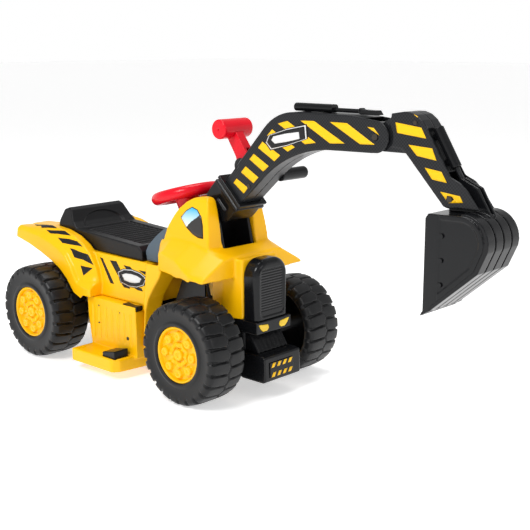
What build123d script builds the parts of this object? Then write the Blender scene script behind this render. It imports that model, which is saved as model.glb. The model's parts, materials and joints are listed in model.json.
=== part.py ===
from build123d import *
import os
from math import cos, radians, sin

# Ride-on digger toy. Millimetres, +X forward, +Y to the rider's left, +Z up, ground at Z = 0.
# Shapes are drawn with X measured from the rear axle; save() moves them so that the row's
# origin is the middle of the footprint.

# ---- driving dimensions -------------------------------------------------------------------
WHEEL_R = 100.0
TYRE_HALF = 45.0
TRACK_HALF = 138.5
WHEELBASE = 467.5
HUB_R = 54.5
MIDDLE_X = 464.2            # rear axle to the middle of the whole length
WALL = 3.0                  # moulded wall
RUN = 0.05                  # radial running clearance of a pin in its hole

AXLE_Z = WHEEL_R
REAR_AXLE_R = 6.0
STUB_R = 5.0
KINGPIN_Y = 78.0
ARM_LENGTH = 40.0           # steering arm, kingpin to tie-rod pin

COLUMN_TILT = 16.0          # steering column leans back by this many degrees
WHEEL_CENTRE = (310.0, 0.0, 370.0)
CRANK = 23.0
CRANK_DROP = 254.0          # wheel centre to crank along the column

BOOM_PIVOT = (425.0, 338.0)       # (x, z) of the pivots of the digging arm
LEVER_PIVOT = (477.0, 441.0)
DIPPER_PIVOT = (801.0, 516.0)
LINK_OFFSET = (-3.0, 13.7)        # link pins from the lever and dipper pivots
BUCKET_PIVOT = (947.0, 425.0)
ROD_TOP = (906.0, 535.0)
ROD_END = (964.0, 441.0)
BOOM_HALF = 28.6
DIPPER_HALF = 23.0
SHELL = 2.6

os.makedirs("parts", exist_ok=True)


def save(piece, label):
    """Name a piece, move it to the row's origin and write its STEP file."""
    shifted = piece.part.moved(Location((-MIDDLE_X, 0, 0)))
    shifted.label = label
    export_step(shifted, f"parts/{label}.step")


def side(y):
    """Sketch plane whose local x, y are the vehicle's X, Z, at the given Y; it faces -Y."""
    return Plane.XZ.offset(-y)


def side_plate(points, y_from, y_to, mode=Mode.ADD):
    """Extrude a side-view polygon between two Y values inside the current part."""
    with BuildSketch(side(max(y_from, y_to))) as profile:
        with BuildLine():
            Polyline(points, close=True)
        make_face()
    extrude(profile.sketch, amount=abs(y_to - y_from), mode=mode)


def cross_pin(centre, radius, y_from, y_to, mode=Mode.ADD):
    """Round pin or bore along Y at a side-view point inside the current part."""
    with BuildSketch(side(max(y_from, y_to))) as profile:
        with Locations(centre):
            Circle(radius)
    extrude(profile.sketch, amount=abs(y_to - y_from), mode=mode)


def block(x, y, z, mode=Mode.ADD):
    """Box given by its low and high X, Y and Z."""
    middle = ((x[0] + x[1]) / 2, (y[0] + y[1]) / 2, (z[0] + z[1]) / 2)
    with Locations(middle):
        Box(x[1] - x[0], y[1] - y[0], z[1] - z[0], mode=mode)


def mirrored(piece):
    """The same piece on the other side of the vehicle."""
    with BuildPart() as other:
        add(mirror(piece.part, about=Plane.XZ))
    return other


# ---- wheels: a hollow black wheel body with its tread, and a snap-on yellow hubcap ---------
LUGS = 24
GROOVE_W = 8.0


def wheel_body(bore_r):
    """Left wheel about the Y axis, outboard face towards +Y."""
    with BuildPart() as wheel:
        with BuildSketch(Plane.XY):
            with BuildLine():
                Polyline(
                    (bore_r, 24), (HUB_R, 24), (HUB_R, 43), (84, 43), (86, TYRE_HALF),
                    (92, TYRE_HALF), (97, 38), (WHEEL_R, 22), (WHEEL_R, -22), (97, -38),
                    (92, -TYRE_HALF), (78, -TYRE_HALF), (78, -41), (87, -41), (91, -34),
                    (91, 34), (87, 39), (58.5, 39), (58.5, 20), (14, 20), (14, -44),
                    (bore_r, -44), close=True,
                )
            make_face()
        revolve(axis=Axis.Y)
        half_pitch = 180 / LUGS
        for sign, start in ((1, half_pitch), (-1, 0)):
            with BuildSketch(side(sign * 26 + 20)):
                with PolarLocations(98.5, LUGS, start_angle=90 + start):
                    Rectangle(8, GROOVE_W)
            extrude(amount=40, mode=Mode.SUBTRACT)
    return wheel


def hubcap():
    """Left hubcap about the Y axis, outboard face towards +Y."""
    with BuildPart() as cap:
        with BuildSketch(Plane.XY):
            with BuildLine():
                Polyline(
                    (0, 34), (50, 34), (50, 26), (54.2, 26), (54.2, 41), (51, 42), (49, 37),
                    (26, 37), (24, 41), (17, 41), (15, 39), (12, 39), (10, 42), (0, 42),
                    close=True,
                )
            make_face()
        revolve(axis=Axis.Y)
        with BuildSketch(side(41)):
            with PolarLocations(37.5, 8, start_angle=22.5):
                Circle(7.5)
        extrude(amount=5)
    return cap


def place(piece, x, y, z):
    """A finished piece moved to its place on the vehicle."""
    with BuildPart() as placed:
        add(piece.part.moved(Location((x, y, z))))
    return placed


rear_body = wheel_body(REAR_AXLE_R + RUN)
front_body = wheel_body(STUB_R + RUN)
cap = hubcap()
for end, body, x in (("rear", rear_body, 0.0), ("front", front_body, WHEELBASE)):
    save(place(body, x, TRACK_HALF, AXLE_Z), f"wheel_{end}_left")
    save(place(mirrored(body), x, -TRACK_HALF, AXLE_Z), f"wheel_{end}_right")
    save(place(cap, x, TRACK_HALF, AXLE_Z), f"hubcap_{end}_left")
    save(place(mirrored(cap), x, -TRACK_HALF, AXLE_Z), f"hubcap_{end}_right")

# ---- rear axle with spacers and nuts -----------------------------------------------------
NUT_FROM = TRACK_HALF + 24.8
NUT_TO = TRACK_HALF + 31.3
SPACER_TO = TRACK_HALF - 44.6
TUB_HALF = 60.0

with BuildPart() as rear_axle:
    cross_pin((0, AXLE_Z), REAR_AXLE_R, -NUT_TO, NUT_TO)
save(rear_axle, "rear_axle")

with BuildPart() as axle_spacers:
    for sign in (1, -1):
        cross_pin((0, AXLE_Z), 9, sign * (TUB_HALF - WALL), sign * SPACER_TO)
    cross_pin((0, AXLE_Z), REAR_AXLE_R, -100, 100, Mode.SUBTRACT)
save(axle_spacers, "axle_spacers")

with BuildPart() as rear_axle_nuts:
    for sign in (1, -1):
        cross_pin((0, AXLE_Z), 10, sign * NUT_FROM, sign * NUT_TO)
    cross_pin((0, AXLE_Z), REAR_AXLE_R, -NUT_TO, NUT_TO, Mode.SUBTRACT)
save(rear_axle_nuts, "rear_axle_nuts")

# ---- chassis tub, drive and battery (hidden under the body) --------------------------------
TUB_TOP = 146.0
FLOOR_Z = 60.0
CHANNEL_HALF = 50.0
CHANNEL_TOP = 88.0
SCREEN_OUT = 57.0
GEARBOX_Y = (-90.0, -TUB_HALF)
MOTOR_AXIS = (52.0, 112.0)

with BuildPart() as chassis_frame:
    block((-36, 330), (-TUB_HALF, TUB_HALF), (FLOOR_Z, TUB_TOP))
    block((-33, 327), (-TUB_HALF + WALL, TUB_HALF - WALL), (FLOOR_Z + WALL, TUB_TOP + 1),
          Mode.SUBTRACT)
    block((330, 500), (-CHANNEL_HALF, CHANNEL_HALF), (FLOOR_Z, CHANNEL_TOP))
    block((330, 497), (-CHANNEL_HALF + WALL, CHANNEL_HALF - WALL),
          (FLOOR_Z + WALL, CHANNEL_TOP + 1), Mode.SUBTRACT)
    # screens that close the inside of the front wheel wells
    for sign in (1, -1):
        side_plate([(327, FLOOR_Z), (327, 150), (352, 205), (417, 205), (417, FLOOR_Z)],
                   sign * 54, sign * SCREEN_OUT)
        side_plate([(327, FLOOR_Z), (327, 88), (417, 88), (417, FLOOR_Z)],
                   sign * (CHANNEL_HALF - WALL), sign * SCREEN_OUT)
    cross_pin((0, AXLE_Z), 9, -80, 80, Mode.SUBTRACT)
    cross_pin(MOTOR_AXIS, 17, -80, 0, Mode.SUBTRACT)
save(chassis_frame, "chassis_frame")

with BuildPart() as gearbox:
    block((-26, 84), GEARBOX_Y, (68, 142))
    fillet(gearbox.edges().filter_by(Axis.Y), 14)
    cross_pin((0, AXLE_Z), 9.5, -95, 0, Mode.SUBTRACT)
save(gearbox, "gearbox")

with BuildPart() as motor:
    cross_pin(MOTOR_AXIS, 16, -TUB_HALF, -8)
    cross_pin(MOTOR_AXIS, 6, -8, -4)
save(motor, "motor")

with BuildPart() as battery:
    block((150, 251), (-35, 35), (FLOOR_Z + WALL, FLOOR_Z + WALL + 47))
    block((160, 168), (-22, -12), (109, 115))
    block((160, 168), (12, 22), (109, 115))
save(battery, "battery")

# ---- steering beam, kingpins, knuckles and tie rod -----------------------------------------
PLATE_LOW = (82.0, 88.0)
PLATE_HIGH = (112.0, 118.0)
ARM_Z = (104.0, 110.0)
TIE_Z = (110.4, 113.4)
TIE_X = WHEELBASE - ARM_LENGTH

with BuildPart() as front_beam:
    block((456, 479), (-62, 62), (CHANNEL_TOP, PLATE_HIGH[1]))
    for low, high in (PLATE_LOW, PLATE_HIGH):
        with BuildSketch(Plane.XY.offset(low)):
            for sign in (1, -1):
                with Locations((WHEELBASE, sign * 66)):
                    Rectangle(23, 24)
                with Locations((WHEELBASE, sign * KINGPIN_Y)):
                    Circle(11.5)
        extrude(amount=high - low)
    with Locations((WHEELBASE, KINGPIN_Y, 60), (WHEELBASE, -KINGPIN_Y, 60)):
        Cylinder(4, 120, align=(Align.CENTER, Align.CENTER, Align.MIN), mode=Mode.SUBTRACT)
    block((440, 500), (-CHANNEL_HALF - 0.1, CHANNEL_HALF + 0.1), (70, CHANNEL_TOP),
          Mode.SUBTRACT)
save(front_beam, "front_beam")

with BuildPart() as kingpins:
    with Locations((WHEELBASE, KINGPIN_Y, 79), (WHEELBASE, -KINGPIN_Y, 79)):
        Cylinder(4, 42, align=(Align.CENTER, Align.CENTER, Align.MIN))
    with Locations((WHEELBASE, KINGPIN_Y, 118), (WHEELBASE, -KINGPIN_Y, 118)):
        Cylinder(6.5, 3, align=(Align.CENTER, Align.CENTER, Align.MIN))
save(kingpins, "kingpins")

with BuildPart() as knuckle_left:
    with Locations((WHEELBASE, KINGPIN_Y, 88.5)):
        Cylinder(10, 23, align=(Align.CENTER, Align.CENTER, Align.MIN))
    block((TIE_X, WHEELBASE), (KINGPIN_Y - 5, KINGPIN_Y + 5), ARM_Z)
    with Locations((TIE_X, KINGPIN_Y, ARM_Z[0])):
        Cylinder(7, ARM_Z[1] - ARM_Z[0], align=(Align.CENTER, Align.CENTER, Align.MIN))
        Cylinder(3, 13, align=(Align.CENTER, Align.CENTER, Align.MIN))
    with Locations((WHEELBASE, KINGPIN_Y, 60)):
        Cylinder(4 + RUN, 100, align=(Align.CENTER, Align.CENTER, Align.MIN),
                 mode=Mode.SUBTRACT)
    cross_pin((WHEELBASE, AXLE_Z), STUB_R, KINGPIN_Y + 7, NUT_TO)
    cross_pin((WHEELBASE, AXLE_Z), 9, KINGPIN_Y + 8.5, SPACER_TO)
save(knuckle_left, "knuckle_left")
save(mirrored(knuckle_left), "knuckle_right")

with BuildPart() as axle_nut:
    cross_pin((WHEELBASE, AXLE_Z), 9, NUT_FROM, NUT_TO)
    cross_pin((WHEELBASE, AXLE_Z), STUB_R, 0, 200, Mode.SUBTRACT)
save(axle_nut, "axle_nut_front_left")
save(mirrored(axle_nut), "axle_nut_front_right")

with BuildPart() as tie_rod:
    with BuildSketch(Plane.XY.offset(TIE_Z[0])):
        with Locations((TIE_X, 0)):
            Rectangle(12, 2 * KINGPIN_Y)
        with Locations((TIE_X, KINGPIN_Y), (TIE_X, -KINGPIN_Y)):
            Circle(6)
        with Locations((TIE_X - 34, 0)):
            Rectangle(68, 20)
        with Locations((TIE_X, KINGPIN_Y), (TIE_X, -KINGPIN_Y)):
            Circle(3 + RUN, mode=Mode.SUBTRACT)
    extrude(amount=TIE_Z[1] - TIE_Z[0])

# ---- steering wheel and its cranked column ------------------------------------------------
LEAN = radians(COLUMN_TILT)
column_plane = Plane(origin=WHEEL_CENTRE, x_dir=(cos(LEAN), 0, sin(LEAN)),
                     z_dir=(-sin(LEAN), 0, cos(LEAN)))
RIM_R = 61.5
TUBE_R = 12.5
COLUMN_R = 5.0


def along_column(distance, offset=0.0):
    """Vehicle point below the steering wheel along its axis, and ahead of the axis."""
    return (WHEEL_CENTRE[0] + distance * sin(LEAN) + offset * cos(LEAN), 0,
            WHEEL_CENTRE[2] - distance * cos(LEAN) + offset * sin(LEAN))


pin_top = along_column(CRANK_DROP, -CRANK)
slot_x = pin_top[0] + (pin_top[2] - TIE_Z[0]) * sin(LEAN) / cos(LEAN)
with BuildPart(mode=Mode.PRIVATE) as crank_slot:
    with BuildSketch(Plane.XY.offset(100)):
        with Locations((slot_x + 1.2, 0)):
            SlotOverall(16, 7.0)
    extrude(amount=20)
with BuildPart() as tie_rod_slotted:
    add(tie_rod.part)
    add(crank_slot.part, mode=Mode.SUBTRACT)
save(tie_rod_slotted, "tie_rod")

with BuildPart() as steering_column:
    with BuildSketch(column_plane.offset(-CRANK_DROP - 2.5)):
        Circle(COLUMN_R)
    extrude(amount=CRANK_DROP - 10)
    with BuildSketch(column_plane.offset(-CRANK_DROP - 2.5)):
        with Locations((-CRANK / 2, 0)):
            SlotOverall(CRANK + 14, 14)
    extrude(amount=5)
    with BuildSketch(column_plane.offset(-CRANK_DROP - 24)):
        with Locations((-CRANK, 0)):
            Circle(3)
    extrude(amount=22)
save(steering_column, "steering_column")

with BuildPart() as steering_wheel:
    with BuildSketch(Plane(origin=WHEEL_CENTRE, x_dir=column_plane.x_dir,
                           z_dir=(0, -1, 0))):
        with Locations((RIM_R, 0)):
            Circle(TUBE_R)
    revolve(axis=Axis(WHEEL_CENTRE, column_plane.z_dir))
    with BuildSketch(column_plane.offset(-8)):
        for angle in (90, 210, 330):
            with Locations(Location((0, 0, 0), (0, 0, angle))):
                with Locations((RIM_R / 2, 0)):
                    Rectangle(RIM_R, 22)
        Circle(28)
    extrude(amount=14)
    with BuildSketch(column_plane.offset(-8)):
        Circle(27)
    with BuildSketch(column_plane.offset(-44)):
        Circle(21)
    loft()
    with BuildSketch(column_plane.offset(-60)):
        Circle(COLUMN_R)
    extrude(amount=60 - 12.5, mode=Mode.SUBTRACT)
save(steering_wheel, "steering_wheel")

# ---- console ---------------------------------------------------------------------------------
CONSOLE_HALF = 76.0
console_side = [(268, 236), (264, 254), (272, 268), (296, 290), (320, 307), (344, 318),
                (344, 314.5), (321, 303.5), (298, 286.5), (274.5, 265.5), (267.5, 253.5),
                (271, 236)]
console_end = [(268, 236), (264, 254), (272, 268), (296, 290), (320, 307), (344, 318),
               (344, 243), (340, 236)]
with BuildPart() as console:
    side_plate(console_side, -CONSOLE_HALF, CONSOLE_HALF)
    side_plate(console_end, CONSOLE_HALF - WALL, CONSOLE_HALF)
    side_plate(console_end, -CONSOLE_HALF, -CONSOLE_HALF + WALL)
    with BuildSketch(column_plane.offset(-84)):
        Circle(9)
    extrude(amount=28)
    with BuildSketch(column_plane.offset(-110)):
        Circle(COLUMN_R + RUN)
    extrude(amount=80, mode=Mode.SUBTRACT)
    with BuildSketch(column_plane.offset(-57)):
        Circle(30)
    extrude(amount=40, mode=Mode.SUBTRACT)
save(console, "console")

# ---- front cowl ------------------------------------------------------------------------------
# Hood stations: X, half width of the fender lip, height at the centre, shoulder, ridge, lip.
HOOD = [
    (318, 104, 287, 288, 270, 236),
    (354, 118, 297, 299, 276, 232),
    (411, 138, 296, 296, 267, 230),
    (460, 143, 283, 284, 253, 230),
    (496, 142, 272, 270, 244, 231),
]
WINDOW_HALF = 46.5
TOWER_OUT = 80.0


def hood_section(x, half, centre, shoulder, ridge, lip, inset, floor_drop):
    """One cross-section of the hood, shrunk by the wall thickness for the hollow."""
    right = [(50, centre - inset), (80 - inset / 2, shoulder - inset),
             (half - 13 - inset / 2, ridge - inset), (half - inset, ridge - 8 - inset / 2),
             (half - inset, lip - floor_drop)]
    left = [(-y, z) for y, z in reversed(right)]
    with BuildSketch(Plane.YZ.offset(x)) as section:
        with BuildLine():
            Polyline(left + right, close=True)
        make_face()
    return section.sketch.face()


tower_side = [(326, 280), (338, 316), (350, 335), (366, 355), (382, 368), (399, 377),
              (418, 381), (434, 380), (441, 373), (447, 350), (453, 318), (458, 272)]
tower_front = [(WINDOW_HALF, 262), (WINDOW_HALF, 382), (60, 382), (70, 374), (78, 345),
               (84, 300), (86, 262)]
tower_side_in = [(332, 260), (341, 314), (353, 333), (368, 352), (384, 365), (400, 374),
                 (418, 378), (432, 377), (438, 371), (444, 350), (450, 318), (455, 260)]
tower_front_in = [(WINDOW_HALF + WALL, 250), (WINDOW_HALF + WALL, 379), (59, 379),
                  (67.5, 371.5), (75, 344), (81, 300), (82, 250)]


def tower_block(side_points, front_points):
    """Tower form on the left side: side view crossed with front view."""
    with BuildPart(mode=Mode.PRIVATE) as tower:
        side_plate(side_points, 40, 90)
        with BuildSketch(Plane.YZ.offset(320)):
            with BuildLine():
                Polyline(front_points, close=True)
            make_face()
        extrude(amount=150, mode=Mode.INTERSECT)
    return tower


hood_plan = [(316, -82), (343, -112), (520, -160), (520, 160), (343, 112), (316, 82)]
hood_plan_in = [(319, -81), (345.5, -110), (520, -157), (520, 157), (345.5, 110), (319, 81)]
nose_plan = [(440, -60), (470, -60), (512, -49), (512, 49), (470, 60), (440, 60)]
nose_plan_in = [(430, -57), (469, -57), (509, -46.5), (509, 46.5), (469, 57), (430, 57)]
nose_open = [(430, -57), (469, -57), (492, -51), (492, 51), (469, 57), (430, 57)]
NOSE_Z = (150.0, 268.0)
well_wall = [(350, 240), (338, 214), (320, 190), (305, 168), (295, 140), (291, 100),
             (291, FLOOR_Z), (287, FLOOR_Z), (287, 101), (291, 142), (301, 171),
             (316, 193), (333, 217), (344, 240)]
well_flank = [(300, 240), (346, 240), (335, 215), (318, 191), (303, 169), (294, 142),
              (287, 142), (290, 160)]
FLANK = (104.6, 107.6)


def prism(plan, low, high, mode=Mode.ADD):
    """Extrude a plan-view polygon between two heights inside the current part."""
    with BuildSketch(Plane.XY.offset(low)) as profile:
        with BuildLine():
            Polyline(plan, close=True)
        make_face()
    extrude(profile.sketch, amount=high - low, mode=mode)


HOLLOW_X = [HOOD[0][0] + WALL, 354, 411, 460, HOOD[-1][0] - WALL]

with BuildPart() as hood_solid:
    loft([hood_section(*station, 0, 0) for station in HOOD], ruled=True)
    prism(hood_plan, 200, 320, Mode.INTERSECT)
with BuildPart() as hood_hollow:
    loft([hood_section(x, *station[1:], WALL, 8) for x, station in zip(HOLLOW_X, HOOD)],
         ruled=True)
    prism(hood_plan_in, 200, 320, Mode.INTERSECT)
with BuildPart() as nose_walls:
    prism(nose_plan, *NOSE_Z)
    prism(nose_plan_in, NOSE_Z[0] - 1, NOSE_Z[1] - WALL, Mode.SUBTRACT)
    prism(nose_open, 200, 300, Mode.SUBTRACT)
tower_outer = tower_block(tower_side, tower_front)
tower_inner = tower_block(tower_side_in, tower_front_in)

with BuildPart() as front_cowl:
    add(hood_solid.part)
    add(tower_outer.part)
    add(mirror(tower_outer.part, about=Plane.XZ))
    add(hood_hollow.part, mode=Mode.SUBTRACT)
    add(tower_inner.part, mode=Mode.SUBTRACT)
    add(mirror(tower_inner.part, about=Plane.XZ), mode=Mode.SUBTRACT)
    add(nose_walls.part)
    # open window between the towers and the passage below it
    block((345, 459), (-WINDOW_HALF, WINDOW_HALF), (200, 400), Mode.SUBTRACT)
    # console side opening at the rear
    block((310, 350), (-CONSOLE_HALF - 0.5, CONSOLE_HALF + 0.5), (200, 330), Mode.SUBTRACT)
    # walls of the window below the towers
    for sign in (1, -1):
        side_plate([(349, 253), (349, 300), (458.5, 290), (458.5, 253)],
                   sign * WINDOW_HALF, sign * (WINDOW_HALF + WALL))
    block((349, 352), (-WINDOW_HALF - WALL, WINDOW_HALF + WALL), (253, 326))
    for sign in (1, -1):
        side_plate(well_wall, sign * 62, sign * FLANK[1])
        side_plate(well_flank, sign * FLANK[0], sign * FLANK[1])
save(front_cowl, "front_cowl")

# ---- nose trim -----------------------------------------------------------------------------
GRILLE_X = (512.3, 545.0)
HOUSING_X = 486.0           # black lower housing reaches back behind the grille
with BuildPart() as grille:
    with BuildSketch(Plane.YZ.offset(GRILLE_X[0])):
        with Locations((0, 209)):
            Rectangle(92, 118)
    extrude(amount=GRILLE_X[1] - GRILLE_X[0])
    top_corners = grille.edges().filter_by(Axis.X).group_by(Axis.Z)[-1]
    fillet(top_corners, 34)
    front = grille.faces().sort_by(Axis.X)[-1]
    fillet(front.edges().filter_by(lambda e: e.center().Z > 151), 12)
    with BuildSketch(Plane.YZ.offset(GRILLE_X[1] - 2)):
        with Locations((0, 203)):
            RectangleRounded(68, 92, 10)
    extrude(amount=5, mode=Mode.SUBTRACT)
save(grille, "grille")

LAMP_Y = 29.0
lamp = [(-14, -2), (-12, 5), (14, 8), (9, -1), (2, -7), (-9, -7)]


def lamp_outline(sign):
    """Slanted lamp outline in the front plane, mirrored to either side."""
    return [(sign * (LAMP_Y + y), 137 + z) for y, z in lamp]


with BuildPart() as light_strip:
    block((HOUSING_X, 549), (-49, 49), (126, 149.6))
    for sign in (1, -1):
        with BuildSketch(Plane.YZ.offset(545)):
            with BuildLine():
                Polyline(lamp_outline(sign), close=True)
            make_face()
        extrude(amount=5, mode=Mode.SUBTRACT)
save(light_strip, "light_strip")

with BuildPart() as headlights:
    for sign in (1, -1):
        with BuildSketch(Plane.YZ.offset(545)):
            with BuildLine():
                Polyline(lamp_outline(sign), close=True)
            make_face()
        extrude(amount=4.6)
save(headlights, "headlights")

with BuildPart() as chin_grille:
    block((HOUSING_X, 512.3), (-49, 49), (88.4, 125.6))
    side_plate([(512.3, 125.6), (520, 125.6), (545, 88.4), (512.3, 88.4)], -43, 43)
    for rib in range(8):
        y = -40.25 + rib * 11.5
        side_plate([(523, 125.6), (520, 125.6), (545, 88.4), (548, 88.4)], y - 2, y + 2)
save(chin_grille, "chin_grille")

with BuildPart() as bumper:
    side_plate([(500.3, 40), (500.3, 87.6), (560, 87.6), (571, 84), (573, 38), (566, 34),
                (512, 34)], -51, 51)
    side_plate([(495, 46), (495, 84), (556, 84), (568, 81), (569, 43), (566, 38),
                (515, 38)], -47.5, 47.5, Mode.SUBTRACT)
save(bumper, "bumper")

with BuildPart() as hazard_plate:
    side_plate([(572, 74), (573.6, 74), (574.8, 44), (573.2, 44)], -38, 28)
save(hazard_plate, "hazard_plate")

# ---- body shell: seat deck, bin, side panels and rear fenders --------------------------------
DECK_HALF = 84.0
SHELL_LOW = 148.4           # rests just above the footboard columns
BIN_X = (70.0, 235.0)
BIN_HALF = 60.0
BIN_FLOOR = 150.5
FENDER_FOOT = [(150, 148.4), (124.5, 148.4), (117, 141), (93, 150), (70, 177), (47, 195), (23, 207),
               (-17, 222), (-62, 236), (-108, 246)]
FENDER_RIDGE = [(-104, 272), (-67, 271), (-22, 265), (15, 256), (47, 245), (68, 232),
                (88, 208), (106, 179), (150, 171)]
FENDER_INNER = [(-104, 272), (-62, 274), (-12, 279), (32, 275), (68, 266), (98, 251),
                (122, 232), (140, 204), (150, 176)]
FENDER_IN = 86.0


def fender_section(y, crest, drop, foot_drop, back=0.0):
    """Side-view fender section at a given Y between its crest line and its foot line."""
    top = [(x - back, z - drop) for x, z in crest]
    foot = [(x, z - foot_drop) for x, z in FENDER_FOOT]
    with BuildSketch(side(y)) as section:
        with BuildLine():
            Polyline(top + foot, close=True)
        make_face()
    return section.sketch.face()


with BuildPart() as fender_solid:
    loft([fender_section(134, FENDER_RIDGE, 7, 0),
          fender_section(126, FENDER_RIDGE, 0, 0),
          fender_section(107, FENDER_INNER, 0, 0),
          fender_section(FENDER_IN, FENDER_INNER, 2, 0)], ruled=True)
with BuildPart() as fender_hollow:
    loft([fender_section(131, FENDER_RIDGE, 10, 25, WALL),
          fender_section(122, FENDER_RIDGE, 4, 25, WALL),
          fender_section(102, FENDER_INNER, 4, 25, WALL),
          fender_section(FENDER_IN + WALL, FENDER_INNER, 5.5, 25, WALL)], ruled=True)
    # both ends stay closed by their own skin
    block((-101, 147), (DECK_HALF, 140), (100, 300), Mode.INTERSECT)
with BuildPart() as fender:
    add(fender_solid.part)
    add(fender_hollow.part, mode=Mode.SUBTRACT)

deck_side = [(-42, SHELL_LOW), (-42, 262), (-19, 262), (-19, 238.5), (285, 233),
             (285, SHELL_LOW)]
deck_side_in = [(-39, 140), (-39, 259), (-22, 259), (-22, 235.5), (282, 230), (282, 140)]
shelf_side = [(-104, 250), (-104, 272), (-62, 274), (-19, 277), (-19, 250)]
shelf_side_in = [(-101, 240), (-101, 269), (-62, 271), (-22, 274), (-22, 240)]
panel_front = [(92, 236), (102, SHELL_LOW), (99, SHELL_LOW), (89, 236)]

with BuildPart() as body_shell:
    side_plate(deck_side, -DECK_HALF, DECK_HALF)
    side_plate(deck_side_in, -DECK_HALF + WALL, DECK_HALF - WALL, Mode.SUBTRACT)
    # shelf behind the seat with a lower middle
    for sign in (1, -1):
        side_plate(shelf_side, sign * 48, sign * 90)
        side_plate(shelf_side_in, sign * 51, sign * 87, Mode.SUBTRACT)
    side_plate([(-104, 247), (-104, 262), (-20, 262), (-20, 259), (-101, 259), (-101, 247)],
               -51, 51)
    block((-101, -42), (-DECK_HALF, DECK_HALF), (230, 259), Mode.SUBTRACT)
    # wider side panels below the seat, leaning outwards
    for sign in (1, -1):
        with BuildSketch(Plane.YZ.offset(112)):
            with BuildLine():
                Polyline([(sign * y, z) for y, z in panel_front], close=True)
            make_face()
        extrude(amount=174)
        side_plate([(112, 233), (112, 236), (286, 233), (286, 230)], sign * 82, sign * 92)
        block((112, 115), (min(sign * 83, sign * 100), max(sign * 83, sign * 100)),
              (150, 234))
    add(fender.part)
    add(mirror(fender.part, about=Plane.XZ))
    # storage bin under the seat
    block((BIN_X[0] - 2.5, BIN_X[1] + 2.5), (-BIN_HALF - 2.5, BIN_HALF + 2.5),
          (BIN_FLOOR - 2.5, 232))
    block(BIN_X, (-BIN_HALF, BIN_HALF), (BIN_FLOOR, 260), Mode.SUBTRACT)
save(body_shell, "body_shell")

# ---- footboards with their columns ------------------------------------------------------------
STEP_TOP = 45.0
STEP_LOW = 18.0
STEP_HALF = 172.0
COLUMN_OUT = 122.0
PEDAL_X = (226.0, 264.0)
PEDAL_Y = (-165.0, -129.0)
SWITCH_X = (240.0, 284.0)
SWITCH_Y = (-120.0, -104.0)
LEDGE_Z = 148.0

column_side = [(126, LEDGE_Z), (128, 106), (138, 40), (283, 40), (283, 100), (282, 116),
               (282, LEDGE_Z)]
column_side_in = [(129.5, LEDGE_Z - WALL), (131, 106), (141, 43), (280, 43), (280, 99),
                  (279, 115), (279, LEDGE_Z - WALL)]
step_plan = [(132, TUB_HALF + 2), (132, STEP_HALF), (262, STEP_HALF), (273, 158),
             (283, TUB_HALF + 2)]


def footboard():
    """Left footboard and column."""
    with BuildPart() as board:
        with BuildSketch(Plane.XY.offset(STEP_LOW)):
            with BuildLine():
                Polyline(step_plan, close=True)
            make_face()
        extrude(amount=STEP_TOP - STEP_LOW)
        outer_corners = board.edges().filter_by(Axis.Z).filter_by_position(Axis.Y, 150, 180)
        fillet(outer_corners.group_by(Axis.X)[1:], 12)
        top_rim = board.faces().sort_by(Axis.Z)[-1].edges()
        fillet([e for e in top_rim if e.center().Y > 100], 3)
        with BuildSketch(Plane.XY.offset(STEP_LOW)):
            with BuildLine():
                Polyline(step_plan, close=True)
            make_face()
            offset(amount=-WALL, mode=Mode.REPLACE)
        extrude(amount=8, mode=Mode.SUBTRACT)
        side_plate(column_side, TUB_HALF + 0.2, COLUMN_OUT)
        side_plate(column_side_in, TUB_HALF, COLUMN_OUT - WALL, Mode.SUBTRACT)
    return board


left_board = footboard()
save(left_board, "footboard_left")

with BuildPart() as footboard_right:
    add(mirror(left_board.part, about=Plane.XZ))
    # pedal well and switch window
    block((PEDAL_X[0] - 1, PEDAL_X[1] + 1), (PEDAL_Y[0] - 0.5, PEDAL_Y[1] + 0.5), (33, 60),
          Mode.SUBTRACT)
    block((SWITCH_X[0] - 0.6, SWITCH_X[1] + 0.6), (SWITCH_Y[0] - 0.6, SWITCH_Y[1] + 0.6),
          (LEDGE_Z - 10, LEDGE_Z + 5), Mode.SUBTRACT)
save(footboard_right, "footboard_right")

PEDAL_HINGE = (PEDAL_X[0] + 4, 42.0)
with BuildPart() as pedal:
    side_plate([(PEDAL_X[0], 39), (PEDAL_X[0], 54), (PEDAL_X[1], 61), (PEDAL_X[1], 39)],
               PEDAL_Y[0], PEDAL_Y[1])
    fillet(pedal.faces().sort_by(Axis.Z)[-1].edges(), 1.5)
save(pedal, "pedal")

with BuildPart() as drive_switch:
    side_plate([(SWITCH_X[0], LEDGE_Z - 8), (SWITCH_X[0], LEDGE_Z + 1.5),
                (262, LEDGE_Z - 1), (SWITCH_X[1], LEDGE_Z + 1.5), (SWITCH_X[1], LEDGE_Z - 8)],
               SWITCH_Y[0], SWITCH_Y[1])
save(drive_switch, "drive_switch")

# ---- seat --------------------------------------------------------------------------------------
SEAT_HALF = 83.5
SEAT_LENGTH = (-16.0, 262.0)
seat_side = [(-15, 238.8), (-16, 290), (-8, 312), (6, 317), (17, 312), (32, 288), (46, 276),
             (250, 264), (261, 254), (262, 233.8)]
seat_inside = [(-12, 220), (-12, 290), (-5, 309), (6, 313), (14, 309), (28, 285), (44, 272),
               (248, 260), (258, 252), (259, 220)]
pan_floor = [(46, 266.5), (46, 273), (242, 261.5), (242, 255.5)]
pan_cut = [(50, 270.5), (50, 300), (238, 300), (238, 259.5)]
SEAT_RIBS = 12


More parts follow.
